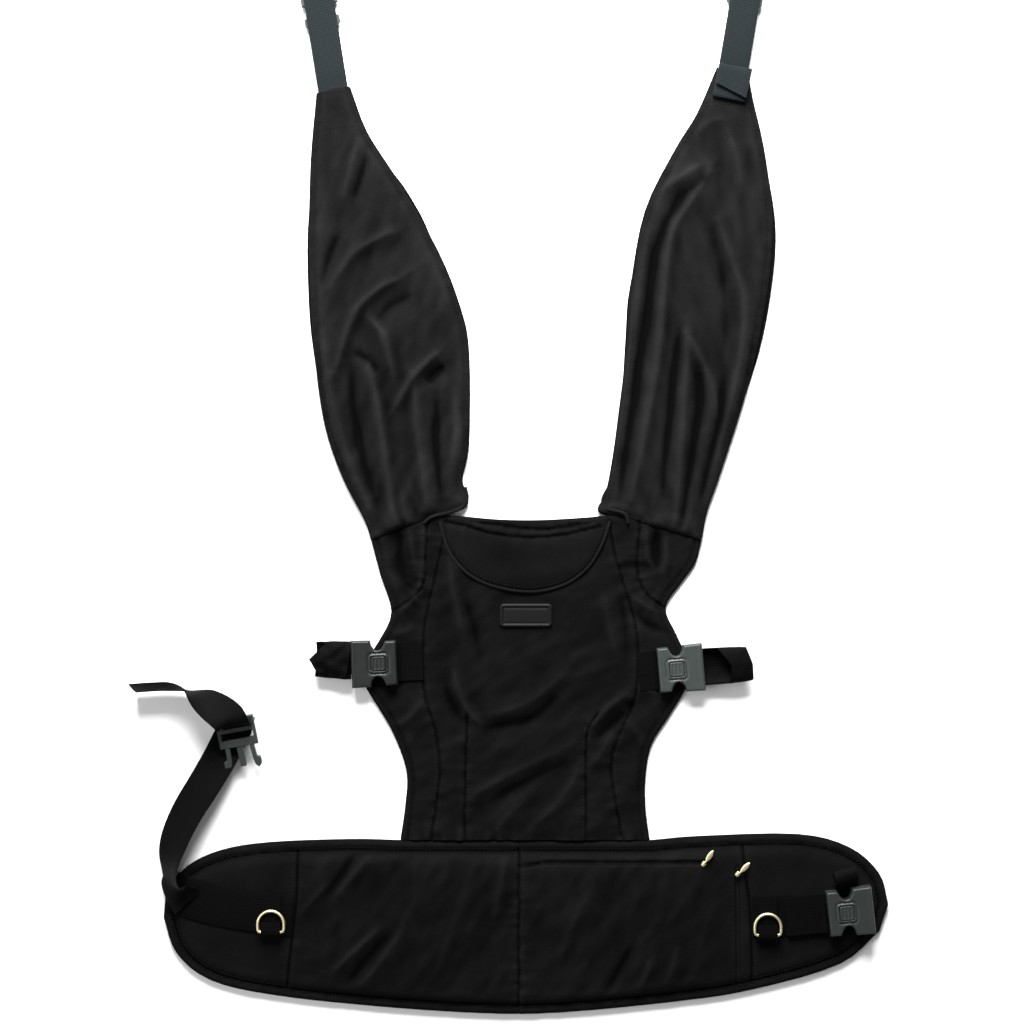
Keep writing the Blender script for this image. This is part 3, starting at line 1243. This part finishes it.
# Each housing: its CAD node, its place, the height of its top's foot, its bodies and its plastic
HOUSINGS = {
    "left_housing": ("side_buckle_left", (-151.0, 262.0, 182.5), 16.9, "left_button", "left_side_buckle",
                     DIM_PLASTIC),
    "right_housing": ("side_buckle_right", (156.0, 257.0, 5.0), 16.9, "right_button", "right_side_buckle",
                      PALE_PLASTIC),
    "belt_housing": ("belt_buckle_right", (324.0, 16.0, 6.0), 22.6, "belt_button", "right_belt_buckle",
                     MID_PLASTIC),
}


def shell(name, node, place, base, button_body, housing_body, look):
    """A moulded top over a socket, softened at its edges, and the ridged lock pad in its middle."""
    outline = [Vector(p) for p in HOUSING_HALF] + [Vector((u, -v)) for u, v in HOUSING_HALF[::-1]]
    frame_rim, well_rim, key_outline = ([p + Vector((PAD_AT, 0)) for p in rounded_box(size, size, corner)]
                                        for size, corner in ((PAD_SIZE, 3.2), (WELL_SIZE, 2.4),
                                                             (KEY_SIZE, 1.9)))
    frame_rim.append(frame_rim[0])
    well_rim.append(well_rim[0])

    def top_relief(points, to_edge):
        around, _, _ = from_line(points, frame_rim)
        to_well, _, _ = from_line(points, well_rim)
        sunk = np.where(inside(points, well_rim[:-1]), np.clip(to_well / 0.5, 0, 1), 0)
        ribs = 0.5 * np.exp(-((points[:, 0] - 19.6) / 0.9) ** 2)
        raised = np.where(inside(points, frame_rim[:-1]), 0.6, 0) + ribs
        return base + 1.5 * swell(to_edge / 1.6) + raised - 1.7 * np.exp(-(around / 0.75) ** 2) - 1.9 * sunk

    def key_relief(points, to_edge):
        grooves = sum(np.exp(-((points[:, 0] - PAD_AT - x) / 0.62) ** 2) for x in (-3.6, 0, 3.6))
        grooves *= np.clip((6.0 - np.abs(points[:, 1])) / 1.2, 0, 1)
        return base + 2.5 + 0.3 * swell(to_edge / 0.8) - 0.75 * grooves

    turned = in_frame(*place)
    fine = (0.35, 0.8, 1.4, 2.0, 2.8)
    cap = soft_form(f"{name}_cap", outline, base - 0.35, 0.5, top_relief, [frame_rim, well_rim], fine, 1.3)
    key = soft_form(f"{name}_pad", key_outline, base + KEY_LOW, 0.6, key_relief, rings=fine, step=0.75)
    for piece, body in ((cap, housing_body), (key, button_body)):
        piece.data.transform(turned)
        dress(piece, look)
        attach(piece, body)
    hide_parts(f"{node}_button")


def make_rings():
    """D-rings of drawn wire on their tabs: a half circle, and a straight bar with rounded corners."""
    radius, wire, bar_z, corner = 13.0, 1.45, 17.4, 3.0
    for side, (x, bar_y) in (("left", (-253, -5)), ("right", (241.5, -8))):
        arc = [(x + radius * math.cos(t), bar_y + 8 + radius * math.sin(t), bar_z)
               for t in (math.pi * k / 40 for k in range(41))]
        base = [(x - radius, bar_y + corner, bar_z), (x - radius + corner * 0.3, bar_y + corner * 0.3,
                                                      bar_z),
                (x - radius + corner, bar_y, bar_z), (x + radius - corner, bar_y, bar_z),
                (x + radius - corner * 0.3, bar_y + corner * 0.3, bar_z),
                (x + radius, bar_y + corner, bar_z)]
        ring = tube(f"{side}_d_ring_wire", arc + base, wire, GOLD, closed=True, resolution=5)
        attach(ring, f"{side}_ring")
        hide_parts(f"d_ring_{side}")


# One side of a pull's outline, from its hinge to its point
LEAF = [(1.4, 0.7), (3.4, 0.9), (6.0, 1.9), (9.0, 2.5), (12.5, 2.3), (15.2, 1.4), (16.8, 0.4)]


def make_zip_pulls():
    """Small sliders, each with a leaf-shaped pull that thins to a point."""
    for zip_name, centre, degrees in (("pocket", (178, 62), 56), ("side", (212, 52), 45)):
        place = in_frame(*centre, degrees)
        body = soft_form(f"{zip_name}_slider_body", rounded_box(6.0, 4.6, 1.8), 12.4, 0.8,
                         lambda points, edge: 13.2 + 1.9 * swell(edge / 1.8), rings=(0.3, 0.8, 1.4),
                         step=0.8)
        leaf = [Vector(p) for p in smooth(LEAF)] + [Vector((u, -v)) for u, v in smooth(LEAF)[::-1]]
        pull = soft_form(f"{zip_name}_pull_leaf", leaf, 15.4, 0.5,
                         lambda points, edge: 16.0 + 0.9 * swell(edge / 1.6), rings=(0.25, 0.7, 1.3),
                         step=0.8)
        for piece, moves, node in ((body, f"{zip_name}_slider", f"{zip_name}_zip_slider"),
                                   (pull, f"{zip_name}_pull", f"{zip_name}_zip_pull")):
            piece.data.transform(place)
            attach(dress(piece, GOLD), moves)
            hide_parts(node)


def dress_frame():
    """Finished materials for the CAD nodes that stay in sight, and the moulded tops of the housings."""
    for name, (node, *rest) in HOUSINGS.items():
        dress_node(node, rest[-1], 0.7)
        shell(name, node, *rest)
    for part in ("frame", "prong_a", "prong_b"):
        for side in ("left", "right"):
            dress_node(f"shoulder_male_{side}_{part}", PLASTIC, 0.5)
        dress_node(f"belt_male_{part}", PALE_PLASTIC, 0.6)
    for name, tape in (("side_webbing_left", "side_left"), ("side_webbing_right", "side_right"),
                       ("belt_webbing_right", "belt_right"), ("ring_tab_left", "tab"),
                       ("ring_tab_right", "tab")):
        dress_node(name, TAPES[tape], 0.3)


# ---------- stage ----------

def make_stage():
    """A pale floor under soft light from beyond the straps, and a weaker fill from the left."""
    bpy.ops.mesh.primitive_plane_add(size=8, location=(0, 0.4, -0.0004))
    floor = bpy.context.object
    floor.name = "floor"
    look, _, shader = node_material("pale_floor")
    shader.inputs["Base Color"].default_value = (0.93, 0.93, 0.93, 1)
    shader.inputs["Roughness"].default_value = 0.9
    dress(floor, look)
    world = bpy.data.worlds.new("studio")
    bpy.context.scene.world = world
    world.use_nodes = True
    background = world.node_tree.nodes["Background"]
    background.inputs["Color"].default_value = (1, 1, 1, 1)
    background.inputs["Strength"].default_value = 0.25
    lamp("key", (-0.1, 1.95, 1.15), (0, 0.3, 0), 1.0, 165)
    lamp("fill", (-2.2, 0.2, 2.2), (0, 0.4, 0), 2.0, 40)
    bpy.context.scene.view_settings.view_transform = "Standard"


def lamp(name, place, target, size, power):
    data = bpy.data.lights.new(name, "AREA")
    data.size = size
    data.energy = power
    light = bpy.data.objects.new(name, data)
    light.location = place
    light.rotation_euler = (Vector(target) - Vector(place)).to_track_quat("-Z", "Y").to_euler()
    bpy.context.scene.collection.objects.link(light)


def make_camera():
    """Straight above the carrier, with the belt at the bottom of the frame."""
    width, distance, sensor, cloth_top = 1.024, 1.75, 36, 0.008
    data = bpy.data.cameras.new("camera")
    data.sensor_width = sensor
    data.lens = sensor * distance / width
    camera = bpy.data.objects.new("camera", data)
    camera.location = (-0.013, 0.413, distance + cloth_top)
    bpy.context.scene.collection.objects.link(camera)
    bpy.context.scene.camera = camera


def main():
    make_stage()
    make_camera()
    make_belt()
    zip_teeth("pocket_zip_coil", POCKET_SLIT[1:], "pocket_zip_tape")
    zip_teeth("side_zip_coil", SIDE_SLIT, "side_zip_tape")
    make_panel()
    make_patch()
    make_flap()
    for side in ("left", "right"):
        make_strap(side)
        make_shoulder_webbing(side)
    make_roll()
    make_belt_webbing()
    make_free_strap()
    make_loops()
    make_rings()
    make_zip_pulls()
    dress_frame()


main()
